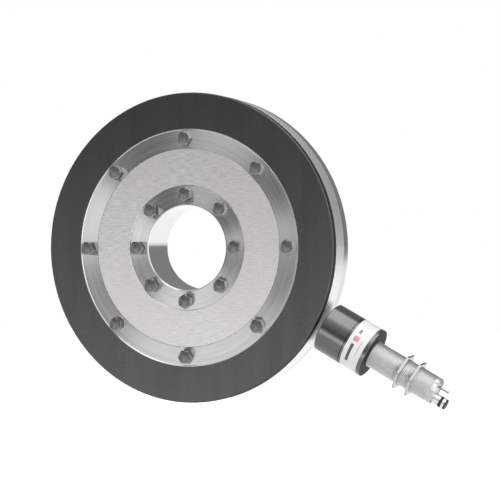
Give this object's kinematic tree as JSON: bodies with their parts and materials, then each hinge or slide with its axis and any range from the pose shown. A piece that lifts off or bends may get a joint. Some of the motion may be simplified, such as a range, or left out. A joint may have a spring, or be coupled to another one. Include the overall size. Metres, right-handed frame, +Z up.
{
  "type": "torque sensor",
  "caption": "Non-contact torque sensor: a bolted steel torsion disc with a black ring turns past a fixed pickup on a threaded barrel with jam nuts.",
  "frame": {"origin": "on the disc's axis, in the middle of the rim's width", "axes": "+Y along the bore from the front face to the rear; +Z up; the pickup lies in the XZ plane, 29 degrees below +X"},
  "size_m": [0.416, 0.0678, 0.31],
  "materials": {
    "turned_steel": "turned, fine concentric lines",
    "black_ring": "satin, faint mottling",
    "grey_ring": "metallic grey lacquer",
    "cover_steel": "fine matt grain",
    "seal_rubber": "matt",
    "board_green": "satin solder mask",
    "chip_black": "matt",
    "coil_copper": "enamelled wire",
    "gauge_foil": "thin foil",
    "lead_white": "smooth sleeve",
    "bolt_steel": "bright plated",
    "cap_black": "satin",
    "ferrite": "sintered, matt",
    "bobbin_white": "moulded",
    "housing_grey": "dark satin",
    "label_white": "smooth, bare",
    "barrel_nickel": "plated, threaded",
    "nut_nickel": "plated",
    "insert_pale": "moulded",
    "contact_metal": "plated pins",
    "nose_metal": "turned, plated"
  },
  "bodies": {
    "pickup": {"sensing_cap": "cap_black", "ferrite_core": "ferrite", "coil_bobbin": "bobbin_white", "pickup_winding": "coil_copper", "pickup_housing": "housing_grey", "lock_ring": "housing_grey", "label_sleeve": "label_white", "pickup_board": "board_green", "pickup_components": "chip_black", "threaded_barrel": "barrel_nickel", "connector_insert": "insert_pale", "contact_pins": "contact_metal", "nose_plug": "nose_metal", "nose_seal": "seal_rubber", "nose_tip": "chip_black"},
    "rotor": {"measuring_body": "turned_steel", "front_ring": "black_ring", "rear_ring": "grey_ring", "front_cover": "cover_steel", "rear_cover": "cover_steel", "front_inner_seal": "seal_rubber", "front_outer_seal": "seal_rubber", "rear_inner_seal": "seal_rubber", "rear_outer_seal": "seal_rubber", "telemetry_board": "board_green", "board_components": "chip_black", "rotor_coil": "coil_copper", "strain_gauges": "gauge_foil", "gauge_leads": "lead_white", "outer_bolts": "bolt_steel", "inner_bolts": "bolt_steel", "rear_ring_screws": "bolt_steel", "front_ring_screws": "bolt_steel"},
    "front_nut": {"front_jam_nut": "nut_nickel"},
    "rear_nut": {"rear_jam_nut": "nut_nickel"}
  },
  "joints": [
    {"name": "rotor_spin", "type": "hinge", "parent": "pickup", "child": "rotor", "pos_m": [0, 0, 0], "axis": [0, 1, 0], "continuous": true},
    {"name": "front_nut_slide", "type": "slide", "parent": "pickup", "child": "front_nut", "axis": [0.8746, 0, -0.4848], "range_m": [-0.032, 0.005]},
    {"name": "rear_nut_slide", "type": "slide", "parent": "pickup", "child": "rear_nut", "axis": [0.8746, 0, -0.4848], "range_m": [-0.005, 0.017]}
  ]
}
